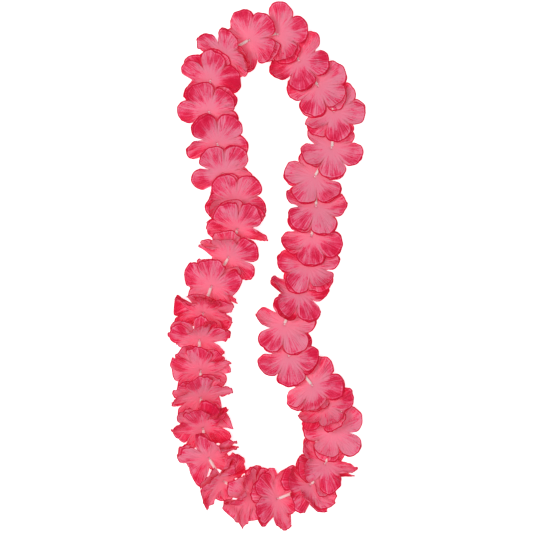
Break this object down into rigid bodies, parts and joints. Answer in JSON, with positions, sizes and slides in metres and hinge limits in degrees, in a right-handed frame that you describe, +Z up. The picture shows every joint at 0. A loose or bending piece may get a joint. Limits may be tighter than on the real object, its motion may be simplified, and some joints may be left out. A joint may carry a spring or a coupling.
{
  "type": "artificial flower lei",
  "caption": "Closed necklace of pink five-petal cloth blooms kept apart by short plastic tubes on one thread, lying flat in a long loop.",
  "frame": {"origin": "on the table, under the middle of the loop's box", "axes": "+Z up from the table towards the viewer, +Y along the loop towards its narrow end, +X to the right seen from above"},
  "size_m": [0.1752, 0.4646, 0.0471],
  "materials": {
    "petal_fabric": "dyed woven polyester, heat-embossed, matt with a soft sheen",
    "spacer_plastic": "milky translucent polyethylene"
  },
  "bodies": {
    "root": {"bloom_01": "petal_fabric", "bloom_02": "petal_fabric", "bloom_03": "petal_fabric", "bloom_04": "petal_fabric", "bloom_05": "petal_fabric", "bloom_06": "petal_fabric", "bloom_07": "petal_fabric", "bloom_08": "petal_fabric", "bloom_09": "petal_fabric", "bloom_10": "petal_fabric", "bloom_11": "petal_fabric", "bloom_12": "petal_fabric", "bloom_13": "petal_fabric", "bloom_14": "petal_fabric", "bloom_15": "petal_fabric", "bloom_16": "petal_fabric", "bloom_17": "petal_fabric", "bloom_18": "petal_fabric", "bloom_19": "petal_fabric", "bloom_20": "petal_fabric", "bloom_21": "petal_fabric", "bloom_22": "petal_fabric", "bloom_23": "petal_fabric", "bloom_24": "petal_fabric", "bloom_25": "petal_fabric", "bloom_26": "petal_fabric", "bloom_27": "petal_fabric", "bloom_28": "petal_fabric", "bloom_29": "petal_fabric", "bloom_30": "petal_fabric", "bloom_31": "petal_fabric", "bloom_32": "petal_fabric", "bloom_33": "petal_fabric", "bloom_34": "petal_fabric", "bloom_35": "petal_fabric", "bloom_36": "petal_fabric", "thread_with_spacers": "spacer_plastic"}
  },
  "joints": []
}
